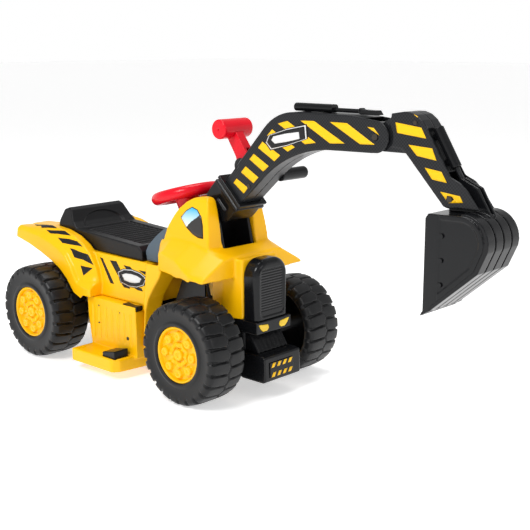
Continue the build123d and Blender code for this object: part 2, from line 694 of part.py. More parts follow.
def seat_form(side_points, inset):
    """Side view crossed with the front view, in which the backrest narrows to its top."""
    low, mid, top = 84 - inset, 83.5 - inset, 70 - inset
    with BuildPart(mode=Mode.PRIVATE) as form:
        side_plate(side_points, -SEAT_HALF + inset, SEAT_HALF - inset)
        with BuildSketch(Plane.YZ.offset(SEAT_LENGTH[0] - 10)):
            with BuildLine():
                Polyline((-low, 200), (-mid, 280), (-top, 320), (top, 320), (mid, 280),
                         (low, 200), close=True)
            make_face()
        extrude(amount=SEAT_LENGTH[1] - SEAT_LENGTH[0] + 20, mode=Mode.INTERSECT)
    return form


with BuildPart() as seat:
    add(seat_form(seat_side, 0).part)
    add(seat_form(seat_inside, WALL).part, mode=Mode.SUBTRACT)
    # shallow pan with its cross ribs
    side_plate(pan_floor, -65, 65)
    side_plate(pan_cut, -62, 62, Mode.SUBTRACT)
    for rib in range(SEAT_RIBS):
        x = 58 + rib * 15
        z = 270.5 - (x - 50) * 11 / 188
        side_plate([(x, z - 1), (x + 2, z + 2.5), (x + 5, z + 2.3), (x + 7, z - 1)], -60, 60)
    # finger notch at the front
    block((246, 270), (-20, 20), (225, 250), Mode.SUBTRACT)
save(seat, "seat")

# ---- yoke that carries the digging arm ---------------------------------------------------------
CHEEK = (36.6, 43.6)
PIVOT_R = 6.0
FLOOR_PLATE = (258.0, 262.0)
cheek_side = [(354, FLOOR_PLATE[0]), (354, 328), (378, 350), (425, 356), (438, 350), (442, 338),
              (455, 280), (478, 160), (478, PLATE_HIGH[1]), (457, PLATE_HIGH[1]), (450, 160),
              (430, FLOOR_PLATE[0])]

with BuildPart() as boom_mount:
    for sign in (1, -1):
        side_plate(cheek_side, sign * CHEEK[0], sign * CHEEK[1])
    block((354, 450), (-CHEEK[1], CHEEK[1]), FLOOR_PLATE)
    block((354, 357), (-CHEEK[1], CHEEK[1]), (FLOOR_PLATE[0], 318))
    block((456, 479), (-CHEEK[1], CHEEK[1]), (PLATE_HIGH[1], PLATE_HIGH[1] + 5))
    block((364, 470), (-CHEEK[1], CHEEK[1]), (140, 145))
    with BuildSketch(column_plane.offset(-264)):
        Circle(COLUMN_R + RUN)
    extrude(amount=60, mode=Mode.SUBTRACT)
    cross_pin(BOOM_PIVOT, PIVOT_R, -60, 60, Mode.SUBTRACT)
save(boom_mount, "boom_mount")

with BuildPart() as boom_pivot_pin:
    cross_pin(BOOM_PIVOT, PIVOT_R, -CHEEK[1], CHEEK[1])
    cross_pin(BOOM_PIVOT, 9, CHEEK[1], CHEEK[1] + 2.2)
    cross_pin(BOOM_PIVOT, 9, -CHEEK[1] - 2.2, -CHEEK[1])
save(boom_pivot_pin, "boom_pivot_pin")

# ---- boom socket: the collar that the boom plugs into -------------------------------------------
# Measured along the boom's lower end: N up the boom, T across it from rear to front.
BOOM_SLOPE = radians(45.0)
SOCKET_HALF = 35.4
COLLAR_HALF = 38.0


def on_boom(t, n):
    """Side-view point at T across and N up the boom's lower end."""
    return (t * cos(BOOM_SLOPE) + n * sin(BOOM_SLOPE),
            n * cos(BOOM_SLOPE) - t * sin(BOOM_SLOPE))


socket_side = [on_boom(12, 594), on_boom(88, 594), on_boom(88, 560), on_boom(76, 538),
               on_boom(66, 524), on_boom(50, 520), on_boom(36, 526), on_boom(14, 556)]
TIP_R = 27.5


def arm_point(pivot, angle, radius):
    """Point on a circle round a side-view pivot."""
    return (pivot[0] + radius * cos(radians(angle)), pivot[1] + radius * sin(radians(angle)))


def boom_outline(inset):
    """Boom side view as a sketch on the centre plane, shrunk by the wall for the hollow."""
    with BuildSketch(side(0)) as outline:
        with BuildLine():
            Polyline(arm_point(DIPPER_PIVOT, -90, TIP_R), (614, 485.5), on_boom(81.7, 586.2),
                     on_boom(27.6, 586.2), (577, 549), (748, 549.5),
                     arm_point(DIPPER_PIVOT, 80, TIP_R))
            ThreePointArc(arm_point(DIPPER_PIVOT, 80, TIP_R),
                          arm_point(DIPPER_PIVOT, 0, TIP_R),
                          arm_point(DIPPER_PIVOT, -90, TIP_R))
        make_face()
        fillet([v for v in outline.vertices() if 600 < v.X < 630], 240)
        fillet([v for v in outline.vertices() if 570 < v.X < 590], 100)
        fillet([v for v in outline.vertices() if 740 < v.X < 760], 40)
        if inset:
            offset(amount=-inset, mode=Mode.REPLACE)
    return outline.sketch


with BuildPart() as boom_socket:
    side_plate(socket_side, -SOCKET_HALF, SOCKET_HALF)
    for low, high in ((592, 599), (603, 610)):
        side_plate([on_boom(13, low), on_boom(13, high), on_boom(92, high), on_boom(92, low)],
                   -COLLAR_HALF, COLLAR_HALF)
    side_plate([on_boom(16, 598), on_boom(16, 604), on_boom(89, 604), on_boom(89, 598)],
               -SOCKET_HALF, SOCKET_HALF)
    extrude(boom_outline(0), amount=BOOM_HALF, both=True, mode=Mode.SUBTRACT)
    for sign in (1, -1):
        side_plate([on_boom(39, 570), on_boom(39, 582), on_boom(71, 582), on_boom(71, 570)],
                   sign * (SOCKET_HALF - 4), sign * (SOCKET_HALF + 1), Mode.SUBTRACT)
    # hollow block, open underneath
    side_plate([on_boom(18, 582), on_boom(82, 582), on_boom(82, 562), on_boom(74, 548),
                on_boom(30, 548), on_boom(18, 562)], -SOCKET_HALF + 5, SOCKET_HALF - 5,
               Mode.SUBTRACT)
    cross_pin(BOOM_PIVOT, PIVOT_R + RUN, -60, 60, Mode.SUBTRACT)
save(boom_socket, "boom_socket")

# ---- boom: two half shells ----------------------------------------------------------------------
LEVER_EAR = (14.2, 19.0)
EAR_R = 15.0


def boom_half(sign):
    """One half shell; the sign is +1 for the left."""
    with BuildPart() as half:
        extrude(boom_outline(0), amount=-sign * BOOM_HALF)
        extrude(boom_outline(SHELL), amount=-sign * (BOOM_HALF - SHELL), mode=Mode.SUBTRACT)
        # fork for the dipper neck
        cross_pin(DIPPER_PIVOT, 38, 0, sign * (BOOM_HALF - SHELL), Mode.SUBTRACT)
        side_plate([(772, 500), (772, 540), (840, 540), (840, 470), (790, 470)],
                   0, sign * (BOOM_HALF - SHELL), Mode.SUBTRACT)
        # ear for the hand lever and the slot it swings in
        cross_pin(LEVER_PIVOT, EAR_R, sign * LEVER_EAR[0], sign * LEVER_EAR[1])
        side_plate([(466, 428), (476, 415), (500, 442), (488, 458)],
                   sign * LEVER_EAR[0], sign * (BOOM_HALF - SHELL))
        side_plate([(440, 405), (462, 400), (524, 470), (508, 486)], 0, sign * 14.2,
                   Mode.SUBTRACT)
        cross_pin(LEVER_PIVOT, 4, -60, 60, Mode.SUBTRACT)
        cross_pin(DIPPER_PIVOT, 5, -60, 60, Mode.SUBTRACT)
        # pads that carry the top ram
        for x in (630, 676):
            block((x - 5, x + 5), (0, 6) if sign > 0 else (-6, 0), (540, 549.7))
    return half


boom_left = boom_half(1)
boom_right = boom_half(-1)
save(boom_left, "boom_shell_left")
save(boom_right, "boom_shell_right")

GRIP_AXIS = (537.0, 424.0)
with BuildPart() as boom_grip:
    cross_pin(GRIP_AXIS, 12, BOOM_HALF, 101)
    fillet(boom_grip.edges().sort_by(Axis.Y)[-1], 5)
save(boom_grip, "boom_grip")

RAM_Z = 557.2
RAM_ROD_Z = 555.0
with BuildPart() as boom_cylinder:
    with BuildSketch(Plane.YZ.offset(602)):
        with Locations((0, RAM_Z)):
            RectangleRounded(20, 14.8, 7)
    extrude(amount=90)
    chamfer(boom_cylinder.faces().sort_by(Axis.X)[0].edges(), 3)
    with BuildSketch(Plane.YZ.offset(640)):
        with Locations((0, RAM_ROD_Z)):
            Circle(3.8)
    extrude(amount=60, mode=Mode.SUBTRACT)
save(boom_cylinder, "boom_cylinder")

with BuildPart() as boom_cylinder_rod:
    with BuildSketch(Plane.YZ.offset(645)):
        with Locations((0, RAM_ROD_Z)):
            Circle(3.8)
    extrude(amount=105)
    cross_pin((751, 555.5), 5.4, -5, 5)
    side_plate([(753, 550), (753, 558.5), (786, 558), (792, 550)], -8, 8)
    cross_pin((751, 555.5), 2, -9, 9, Mode.SUBTRACT)
save(boom_cylinder_rod, "boom_cylinder_rod")

with BuildPart() as boom_screws:
    for sign in (1, -1):
        cross_pin((510, 406), 4, sign * BOOM_HALF, sign * (BOOM_HALF + 1.6))
save(boom_screws, "boom_screws")

with BuildPart() as lever_pin:
    cross_pin(LEVER_PIVOT, 4, -LEVER_EAR[1], LEVER_EAR[1])
save(lever_pin, "lever_pin")

with BuildPart() as dipper_pin:
    cross_pin(DIPPER_PIVOT, 5, -BOOM_HALF, BOOM_HALF)
    cross_pin(DIPPER_PIVOT, 5.6, BOOM_HALF, BOOM_HALF + 1.6)
    cross_pin(DIPPER_PIVOT, 5.6, -BOOM_HALF - 1.6, -BOOM_HALF)
save(dipper_pin, "dipper_pin")

# ---- hand lever, its T grip and the hidden link to the dipper --------------------------------------
GRIP_CENTRE = (440.0, 509.0)
LEVER_LINK = (LEVER_PIVOT[0] + LINK_OFFSET[0], LEVER_PIVOT[1] + LINK_OFFSET[1])
DIPPER_LINK = (DIPPER_PIVOT[0] + LINK_OFFSET[0], DIPPER_PIVOT[1] + LINK_OFFSET[1])
LINK_PIN_R = 2.5
lever_side = [(431, 498), (452, 512), (489, 463), (490, 448), (477, 432), (464, 441),
              (457, 458)]

with BuildPart() as lever_arm:
    side_plate(lever_side, -10, 10)
    cross_pin(LEVER_PIVOT, 13, -13.8, 13.8)
    cross_pin(LEVER_LINK, 11, -4.4, 4.4, Mode.SUBTRACT)
    side_plate([arm_point(LEVER_LINK, 100, 11), arm_point(LEVER_LINK, 60, 40),
                arm_point(LEVER_LINK, -25, 40), arm_point(LEVER_LINK, -70, 10)],
               -4.4, 4.4, Mode.SUBTRACT)
    cross_pin(LEVER_LINK, LINK_PIN_R, -8, 8)
    cross_pin(LEVER_PIVOT, 4 + RUN, -20, 20, Mode.SUBTRACT)
save(lever_arm, "lever_arm")

with BuildPart() as lever_grip:
    cross_pin(GRIP_CENTRE, 19, -38.8, 38.8)
    chamfer(lever_grip.edges().filter_by(GeomType.CIRCLE), 2)
    for sign in (1, -1):
        cross_pin(GRIP_CENTRE, 2, sign * 33, sign * 40, Mode.SUBTRACT)
    side_plate(lever_side, -10, 10, Mode.SUBTRACT)
save(lever_grip, "lever_grip")

link_dx = DIPPER_LINK[0] - LEVER_LINK[0]
link_dz = DIPPER_LINK[1] - LEVER_LINK[1]
with BuildPart() as link_rod:
    side_plate([(LEVER_LINK[0], LEVER_LINK[1] - 3), (DIPPER_LINK[0], DIPPER_LINK[1] - 3),
                (DIPPER_LINK[0], DIPPER_LINK[1] + 3), (LEVER_LINK[0], LEVER_LINK[1] + 3)],
               -3.5, 3.5)
    for end in (LEVER_LINK, DIPPER_LINK):
        cross_pin(end, 6, -3.5, 3.5)
    for end in (LEVER_LINK, DIPPER_LINK):
        cross_pin(end, LINK_PIN_R + RUN, -9, 9, Mode.SUBTRACT)
save(link_rod, "link_rod")

# ---- dipper: two half shells ---------------------------------------------------------------------
NECK_HALF = 22.0
dipper_side = [(829, 556), (853, 560), (866, 560), (879, 556), (890, 548), (898, 538),
               (926, 493), (947, 461), (966, 453), (980, 441), (1003, 411.5), (958, 411.5)]
neck_side = [(812, 540), (829, 550), (862, 545), (862, 492), (812, 492)]
floor_strip = [(893.5, 531), (934, 466), (931.5, 464.5), (891, 529.5)]
ROD_LINE = Plane(origin=(ROD_TOP[0], 0, ROD_TOP[1]), x_dir=(0, 1, 0),
                 z_dir=(ROD_END[0] - ROD_TOP[0], 0, ROD_END[1] - ROD_TOP[1]))


def dipper_outline(inset):
    """Dipper side view with its concave shoulder round the boom tip."""
    with BuildSketch(side(0)) as outline:
        with BuildLine():
            Polyline(arm_point(DIPPER_PIVOT, 36, 32.5), *dipper_side,
                     arm_point(BUCKET_PIVOT, -75, 15.5))
            ThreePointArc(arm_point(BUCKET_PIVOT, -75, 15.5),
                          arm_point(BUCKET_PIVOT, -105, 15.5),
                          arm_point(BUCKET_PIVOT, 226, 17.5))
            Polyline(arm_point(BUCKET_PIVOT, 226, 17.5), (852, 500),
                     arm_point(DIPPER_PIVOT, -25, 32.5))
            ThreePointArc(arm_point(DIPPER_PIVOT, -25, 32.5),
                          arm_point(DIPPER_PIVOT, 5, 32.5),
                          arm_point(DIPPER_PIVOT, 36, 32.5))
        make_face()
        if inset:
            offset(amount=-inset, mode=Mode.REPLACE)
    return outline.sketch


def dipper_half(sign):
    """One half shell; the sign is +1 for the left."""
    inner = sign * (DIPPER_HALF - SHELL)
    with BuildPart() as half:
        extrude(dipper_outline(0), amount=-sign * DIPPER_HALF)
        extrude(dipper_outline(SHELL), amount=-sign * (DIPPER_HALF - SHELL), mode=Mode.SUBTRACT)
        # back channel for the ram and the open lower fork
        side_plate([(880, 531), (903, 545), (960, 520), (1015, 400), (950, 400), (934, 446)],
                   0, inner, Mode.SUBTRACT)
        cross_pin(BUCKET_PIVOT, 17.2, 0, inner, Mode.SUBTRACT)
        side_plate([(938, 440), (936, 404), (1015, 404), (985, 450)], 0, inner, Mode.SUBTRACT)
        # notch that lets the bucket's ears pass as it curls
        side_plate([(922, 424), (922, 404), (942, 404), (942, 424)], 0, sign * 9,
                   Mode.SUBTRACT)
        side_plate(floor_strip, 0, inner)
        side_plate([(889, 527), (896.5, 528), (899, 536), (890, 547), (880, 552)], 0, inner)
        # neck inside the boom fork
        side_plate(neck_side, 0, sign * NECK_HALF)
        cross_pin(DIPPER_PIVOT, 25, 0, sign * NECK_HALF)
        # slot for the link rod
        cross_pin(DIPPER_PIVOT, 27, 0, sign * 4.4, Mode.SUBTRACT)
        cross_pin(DIPPER_PIVOT, 7.5, 0, sign * 4.4)
        cross_pin(DIPPER_LINK, LINK_PIN_R, 0, sign * 12)
        cross_pin(DIPPER_PIVOT, 5 + RUN, -60, 60, Mode.SUBTRACT)
        cross_pin(BUCKET_PIVOT, 4, -60, 60, Mode.SUBTRACT)
    return half


save(dipper_half(1), "dipper_shell_left")
save(dipper_half(-1), "dipper_shell_right")

with BuildPart() as dipper_cylinder:
    with BuildSketch(ROD_LINE):
        Circle(9)
    extrude(amount=72)
    with BuildSketch(ROD_LINE.offset(20)):
        Circle(4 + RUN)
    extrude(amount=60, mode=Mode.SUBTRACT)
    for start in (6, 52):
        with BuildSketch(ROD_LINE.offset(start)):
            with Locations((0, 10.2) if ROD_LINE.y_dir.X < 0 else (0, -10.2)):
                Rectangle(10, 4.4)
        extrude(amount=10)
save(dipper_cylinder, "dipper_cylinder")

with BuildPart() as dipper_rod:
    with BuildSketch(ROD_LINE.offset(40)):
        Circle(4)
    extrude(amount=66)
    cross_pin(ROD_END, 6.5, -3.8, 3.8)
    cross_pin(ROD_END, 3.7, -9, 9, Mode.SUBTRACT)
save(dipper_rod, "dipper_rod")

with BuildPart() as bucket_pin:
    cross_pin(BUCKET_PIVOT, 4, -DIPPER_HALF, DIPPER_HALF)
    cross_pin(BUCKET_PIVOT, 5, DIPPER_HALF, DIPPER_HALF + 1.6)
    cross_pin(BUCKET_PIVOT, 5, -DIPPER_HALF - 1.6, -DIPPER_HALF)

save(bucket_pin, "bucket_pin")

with BuildPart() as dipper_screws:
    for sign in (1, -1):
        cross_pin((877, 543), 3.6, sign * DIPPER_HALF, sign * (DIPPER_HALF + 1.4))
save(dipper_screws, "dipper_screws")

# ---- bucket ----------------------------------------------------------------------------------------
BUCKET_HALF = 50.0
BUCKET_MOUTH_X = 921.0
TOOTH_PITCH = 23.0
ear_side = [(938, 402), (934, 425), (940, 440), (957, 459), (990, 445), (1016, 402)]


def bucket_outline(inset):
    """Bucket side view: flat mouth at the rear, round back."""
    with BuildSketch(side(0)) as outline:
        with BuildLine():
            Polyline((1026, 352), (1012, 320), (925, 243), (BUCKET_MOUTH_X, 234),
                     (BUCKET_MOUTH_X, 396), (926, 403.5), (985, 405))
            ThreePointArc((985, 405), (1018, 390), (1026, 352))
        make_face()
        if inset:
            offset(amount=-inset, mode=Mode.REPLACE)
    return outline.sketch


RIM = 1.4                   # raised edge round each side of the bucket
BANDS = 4
BAND_PITCH = 25.0
BAND_WIDTH = 21.5
CUTTER_X = 946.0

with BuildPart() as bucket:
    extrude(bucket_outline(0), amount=BUCKET_HALF + RIM, both=True)
    for sign in (1, -1):
        with BuildPart(mode=Mode.PRIVATE) as panel:
            extrude(bucket_outline(8), amount=-sign * 60)
            block((CUTTER_X + 2, 1040), (-60, 60), (200, 420), Mode.INTERSECT)
            block((900, 1040), (-BUCKET_HALF, BUCKET_HALF), (200, 420), Mode.SUBTRACT)
        add(panel.part, mode=Mode.SUBTRACT)
        block((CUTTER_X - 1, CUTTER_X + 1), (-60, -BUCKET_HALF - RIM + 0.8), (262, 420),
              Mode.SUBTRACT)
        block((CUTTER_X - 1, CUTTER_X + 1), (BUCKET_HALF + RIM - 0.8, 60), (262, 420),
              Mode.SUBTRACT)
    # broad bands round the back with narrow grooves between them
    for band in range(BANDS):
        y = (band - (BANDS - 1) / 2) * BAND_PITCH
        with BuildSketch(side(y + BAND_WIDTH / 2)) as ring:
            with BuildLine():
                Polyline((1034, 352), (1018, 316), (928, 239), (950, 300), (985, 398),
                         (985, 408))
                ThreePointArc((985, 408), (1023, 394), (1034, 352))
            make_face()
        extrude(ring.sketch, amount=BAND_WIDTH)
    extrude(bucket_outline(SHELL), amount=BUCKET_HALF - SHELL, both=True, mode=Mode.SUBTRACT)
    # mouth
    block((915, 930), (-BUCKET_HALF + SHELL, BUCKET_HALF - SHELL), (243, 397), Mode.SUBTRACT)
    # ears, bearing tube and rod pin
    for sign in (1, -1):
        side_plate(ear_side, sign * 4.2, sign * 8.2)
    cross_pin(BUCKET_PIVOT, 9, -20.0, 20.0)
    cross_pin(BUCKET_PIVOT, 4 + RUN, -60, 60, Mode.SUBTRACT)
    cross_pin(ROD_END, LINK_PIN_R, -8, 8)
    # teeth along the lower lip
    for tooth in range(5):
        y = -46 + tooth * TOOTH_PITCH
        side_plate([(934, 252), (934, 243), (915, 232), (919, 240)], y - 5, y + 5)
save(bucket, "bucket")

with BuildPart() as bucket_bolts:
    for sign in (1, -1):
        for z in (290, 330, 370):
            cross_pin((952, z), 4, sign * BUCKET_HALF, sign * (BUCKET_HALF + 3))
save(bucket_bolts, "bucket_bolts")
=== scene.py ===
import json
import math

import bmesh
import bpy
from mathutils import Matrix, Vector
from mathutils.bvhtree import BVHTree


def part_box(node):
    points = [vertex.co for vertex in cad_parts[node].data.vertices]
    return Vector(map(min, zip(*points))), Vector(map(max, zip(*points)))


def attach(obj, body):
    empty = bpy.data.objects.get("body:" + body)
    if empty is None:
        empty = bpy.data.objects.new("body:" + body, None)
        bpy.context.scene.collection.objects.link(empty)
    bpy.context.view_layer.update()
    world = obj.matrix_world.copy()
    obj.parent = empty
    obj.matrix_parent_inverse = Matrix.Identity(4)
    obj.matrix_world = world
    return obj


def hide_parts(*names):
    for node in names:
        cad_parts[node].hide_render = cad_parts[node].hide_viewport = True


# Ride-on digger toy. Metres, the row's frame: +X forward, +Y to the rider's left, ground at Z = 0.
# Side-view shapes are written in millimetres from the rear axle, as in the CAD source.

SIDES = (("left", 1), ("right", -1))        # with the sign of Y

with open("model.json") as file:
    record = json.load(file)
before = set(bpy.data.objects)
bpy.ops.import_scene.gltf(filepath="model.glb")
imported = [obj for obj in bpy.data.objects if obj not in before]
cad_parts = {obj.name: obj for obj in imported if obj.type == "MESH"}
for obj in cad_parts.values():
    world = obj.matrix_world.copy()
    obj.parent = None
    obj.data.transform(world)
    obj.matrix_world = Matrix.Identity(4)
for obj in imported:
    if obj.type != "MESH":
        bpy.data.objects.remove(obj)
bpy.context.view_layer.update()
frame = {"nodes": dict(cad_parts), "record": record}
nodes = frame["nodes"]
body_of_node = {
    node: body
    for body, members in frame["record"]["behaviour"]["bodies"].items()
    for node in members
}
slot_of_node = {p["node"]: p["material_slot"] for p in frame["record"]["subparts"]}

rear_low, rear_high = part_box("wheel_rear_left")
REAR_X = (rear_low.x + rear_high.x) / 2
FRONT_X = sum(v.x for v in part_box("wheel_front_left")) / 2
TRACK_Y = (rear_low.y + rear_high.y) / 2
AXLE_Z = (rear_low.z + rear_high.z) / 2


def mm(x, y, z):
    """Point in the row's frame from millimetres measured at the rear axle and the ground."""
    return Vector((REAR_X + x / 1000, y / 1000, z / 1000))


# ---- materials ---------------------------------------------------------------------------
SHEEN = 0.26                # how strongly the plastics mirror the white studio
GLOSS_SHEEN = 0.24          # the same for the smoother black mouldings
DRIFT_SCALE = 9.0           # size of the soft patches of colour and gloss
GRAIN_DEPTH = 0.0006
WEAVE_SCALE = 330.0         # squares to the metre
SOOT = (0.004, 0.0043, 0.005)
SOOT_SHADE = (0.007, 0.0074, 0.0085)


def add_node(tree, kind, inputs=None, **settings):
    """A new shader node. inputs holds a value or a linked socket for each named input."""
    node = tree.nodes.new("ShaderNode" + kind)
    for key, value in settings.items():
        setattr(node, key, value)
    for key, value in (inputs or {}).items():
        if isinstance(value, bpy.types.NodeSocket):
            tree.links.new(value, node.inputs[key])
        else:
            node.inputs[key].default_value = value
    return node


def shader_of(material):
    """The node that sets a material's look."""
    return material.node_tree.nodes["Principled BSDF"]


def plastic(name, colour, shade, rough, grain, bump):
    """Moulded plastic: faint colour drift, uneven gloss and a fine surface grain."""
    material = bpy.data.materials.new(name)
    material.use_nodes = True
    tree = material.node_tree
    shader = shader_of(material)
    shader.inputs["Specular IOR Level"].default_value = SHEEN
    place = add_node(tree, "TexCoord").outputs["Object"]
    drift = add_node(tree, "TexNoise", {"Vector": place, "Scale": DRIFT_SCALE, "Detail": 4.0})
    amount = drift.outputs["Fac"]
    tint = add_node(tree, "Mix", {"Factor": amount, "A": (*colour, 1), "B": (*shade, 1)},
                    data_type="RGBA")
    gloss = add_node(tree, "MapRange",
                     {"Value": amount, "To Min": rough * 0.8, "To Max": rough * 1.2})
    fine = add_node(tree, "TexNoise", {"Vector": place, "Scale": grain, "Detail": 2.0})
    relief = add_node(tree, "Bump", {"Height": fine.outputs["Fac"], "Strength": bump,
                                     "Distance": GRAIN_DEPTH})
    tree.links.new(tint.outputs["Result"], shader.inputs["Base Color"])
    tree.links.new(gloss.outputs["Result"], shader.inputs["Roughness"])
    tree.links.new(relief.outputs["Normal"], shader.inputs["Normal"])
    return material


YELLOW = plastic("yellow_moulded", (0.93, 0.50, 0.001), (0.88, 0.45, 0.001), 0.30, 500, 0.05)
BLACK = plastic("black_moulded", SOOT, SOOT_SHADE, 0.30, 700, 0.12)
ARM = plastic("arm_black", SOOT, (0.008, 0.0084, 0.0098), 0.30, 700, 0.10)
SEAT = plastic("seat_black", (0.004, 0.004, 0.0045), (0.007, 0.007, 0.008), 0.36, 1100, 0.25)
TYRE = plastic("wheel_black", (0.005, 0.0052, 0.0058), (0.009, 0.0093, 0.010), 0.36, 900, 0.20)
RED = plastic("red_moulded", (0.72, 0.004, 0.018), (0.62, 0.003, 0.013), 0.24, 400, 0.03)
GREY = plastic("grey_moulded", (0.090, 0.125, 0.160), (0.070, 0.100, 0.130), 0.42, 900, 0.15)
WHITE = plastic("drive_white", (0.60, 0.60, 0.57), (0.52, 0.52, 0.50), 0.50, 800, 0.10)
CASE = plastic("battery_case", (0.02, 0.02, 0.022), (0.03, 0.03, 0.033), 0.50, 800, 0.10)
LAMP = plastic("lamp_yellow", (0.86, 0.60, 0.04), (0.80, 0.50, 0.03), 0.22, 400, 0.03)
BRONZE = plastic("screw_dark", (0.030, 0.024, 0.018), (0.050, 0.040, 0.030), 0.36, 800, 0.05)
STRIPE_BLACK = plastic("film_black", (0.008, 0.008, 0.009), (0.013, 0.013, 0.014), 0.34, 300,
                       0.02)
STRIPE_YELLOW = plastic("film_yellow", (0.90, 0.52, 0.003), (0.84, 0.47, 0.002), 0.34, 300,
                        0.02)
FILM_WHITE = plastic("film_white", (0.72, 0.72, 0.71), (0.64, 0.64, 0.63), 0.36, 300, 0.02)


def woven(material, light):
    """Lay the fine two-tone weave of a carbon-look film over a plastic."""
    tree = material.node_tree
    colour = shader_of(material).inputs["Base Color"]
    plain = colour.links[0].from_socket
    place = add_node(tree, "TexCoord").outputs["Object"]
    weave = add_node(tree, "TexChecker", {"Vector": place, "Scale": WEAVE_SCALE})
    blend = add_node(tree, "Mix", {"Factor": weave.outputs["Fac"], "A": plain, "B": (*light, 1)},
                     data_type="RGBA")
    tree.links.new(blend.outputs["Result"], colour)


woven(ARM, (0.016, 0.017, 0.019))


def steel():
    """Dull grey metal with a fine grain."""
    material = plastic("steel", (0.42, 0.42, 0.43), (0.30, 0.30, 0.31), 0.34, 1500, 0.10)
    shader_of(material).inputs["Metallic"].default_value = 1.0
    return material


SKY_LOW = (0.80, 0.86, 0.88, 1)
SKY_HIGH = (0.05, 0.42, 0.72, 1)
HILL_COLOUR = (0.035, 0.033, 0.033, 1)
HILL_RISE = 0.75            # metres up for each metre forward
HILL_FOOT = 0.325           # its height at HILL_X, before the ripple
HILL_X = mm(405, 0, 0).x
HILL_RIPPLE = 0.012


def tinted_window():
    """Printed film: blue sky fading down to near white, with a dark hill at the lower front."""
    material = plastic("film_window", (0.5, 0.5, 0.5), (0.5, 0.5, 0.5), 0.25, 300, 0.02)
    tree = material.node_tree
    place = add_node(tree, "TexCoord").outputs["Object"]
    split = add_node(tree, "SeparateXYZ", {"Vector": place})
    height = add_node(tree, "MapRange", {"Value": split.outputs["Z"],
                                         "From Min": mm(0, 0, 322).z,
                                         "From Max": mm(0, 0, 358).z})
    sky = add_node(tree, "ValToRGB", {"Fac": height.outputs["Result"]})
    sky.color_ramp.elements[0].color = SKY_LOW
    sky.color_ramp.elements[1].color = SKY_HIGH
    # the hill's edge rises towards the front, with a soft ripple
    slope = add_node(tree, "Math", {0: split.outputs["X"], 1: HILL_RISE, 2: -HILL_RISE * HILL_X},
                     operation="MULTIPLY_ADD")
    wave = add_node(tree, "TexNoise", {"Vector": place, "Scale": 60.0})
    ripple = add_node(tree, "Math", {0: wave.outputs["Fac"], 1: HILL_RIPPLE,
                                     2: slope.outputs["Value"]}, operation="MULTIPLY_ADD")
    above = add_node(tree, "Math", {0: split.outputs["Z"], 1: ripple.outputs["Value"]},
                     operation="SUBTRACT")
    edge = add_node(tree, "Math", {0: above.outputs["Value"], 1: HILL_FOOT},
                    operation="GREATER_THAN")
    mix = add_node(tree, "Mix", {"Factor": edge.outputs["Value"], "A": HILL_COLOUR,
                                 "B": sky.outputs["Color"]}, data_type="RGBA")
    tree.links.new(mix.outputs["Result"], shader_of(material).inputs["Base Color"])
    return material


GLOSS = plastic("gloss_black", SOOT, SOOT_SHADE, 0.20, 500, 0.06)
shader_of(GLOSS).inputs["Specular IOR Level"].default_value = GLOSS_SHEEN
STEEL = steel()
WINDOW = tinted_window()
MATERIALS = {
    "yellow_plastic": YELLOW, "black_plastic": BLACK, "arm_black": ARM, "seat_black": SEAT,
    "red_plastic": RED, "grey_plastic": GREY, "wheel_black": TYRE, "steel": STEEL,
    "lamp_yellow": LAMP, "drive_white": WHITE, "battery_case": CASE,
}
GLOSSY = ("bucket", "bucket_bolts", "boom_cylinder", "boom_cylinder_rod", "dipper_cylinder",
          "boom_socket", "boom_grip", "grille", "bumper", "hazard_plate", "light_strip",
          "chin_grille")
SCREWS = ("boom_screws", "dipper_screws", "dipper_pin", "bucket_pin")


def dress(piece, material):
    """Give an object one material."""
    piece.data.materials.clear()
    piece.data.materials.append(material)


def look_of(node):
    """Material that a node shows."""
    if node in SCREWS:
        return BRONZE
    return GLOSS if node in GLOSSY else MATERIALS[slot_of_node[node]]


for node, obj in nodes.items():
    dress(obj, look_of(node))


# ---- pieces ------------------------------------------------------------------------------
ROUNDING_FACTOR = 0.5


def new_piece(name, mesh, node, material=None, stands_for=True):
    """A finished mesh that rides on a node's body, and stands for the node if asked."""
    piece = bpy.data.objects.new(name, mesh)
    bpy.context.scene.collection.objects.link(piece)
    dress(piece, material or look_of(node))
    mesh.shade_smooth()
    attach(piece, body_of_node[node])
    if stands_for:
        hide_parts(node)
    return piece


def settled(obj):
    """The mesh of an object after its modifiers. The object itself is removed."""
    graph = bpy.context.evaluated_depsgraph_get()
    mesh = bpy.data.meshes.new_from_object(obj.evaluated_get(graph))
    bpy.data.objects.remove(obj)
    return mesh


def moulded(node, voxel, passes, share, shape=None):
    """A copy of a CAD node with the soft edges of a plastic moulding.

    voxel is the mesh spacing in millimetres, passes the amount of rounding, share the part of
    the faces kept, and shape an optional function that moves each point.
    """
    copy = bpy.data.objects.new("copy", nodes[node].data.copy())
    bpy.context.scene.collection.objects.link(copy)
    even = copy.modifiers.new("even", "REMESH")
    even.mode = "VOXEL"
    even.voxel_size = voxel / 1000
    rounding = copy.modifiers.new("rounding", "SMOOTH")
    rounding.factor = ROUNDING_FACTOR
    rounding.iterations = passes
    mesh = settled(copy)
    if shape:
        for vertex in mesh.vertices:
            vertex.co = shape(vertex.co)
    thin = bpy.data.objects.new("thin", mesh)
    bpy.context.scene.collection.objects.link(thin)
    fewer = thin.modifiers.new("fewer", "DECIMATE")
    fewer.ratio = share
    return new_piece("look_" + node, settled(thin), node)


def smooth_step(low, high, value):
    """0 below low, 1 above high, and a smooth rise between them."""
    t = min(max((value - low) / (high - low), 0.0), 1.0)
    return t * t * (3 - 2 * t)


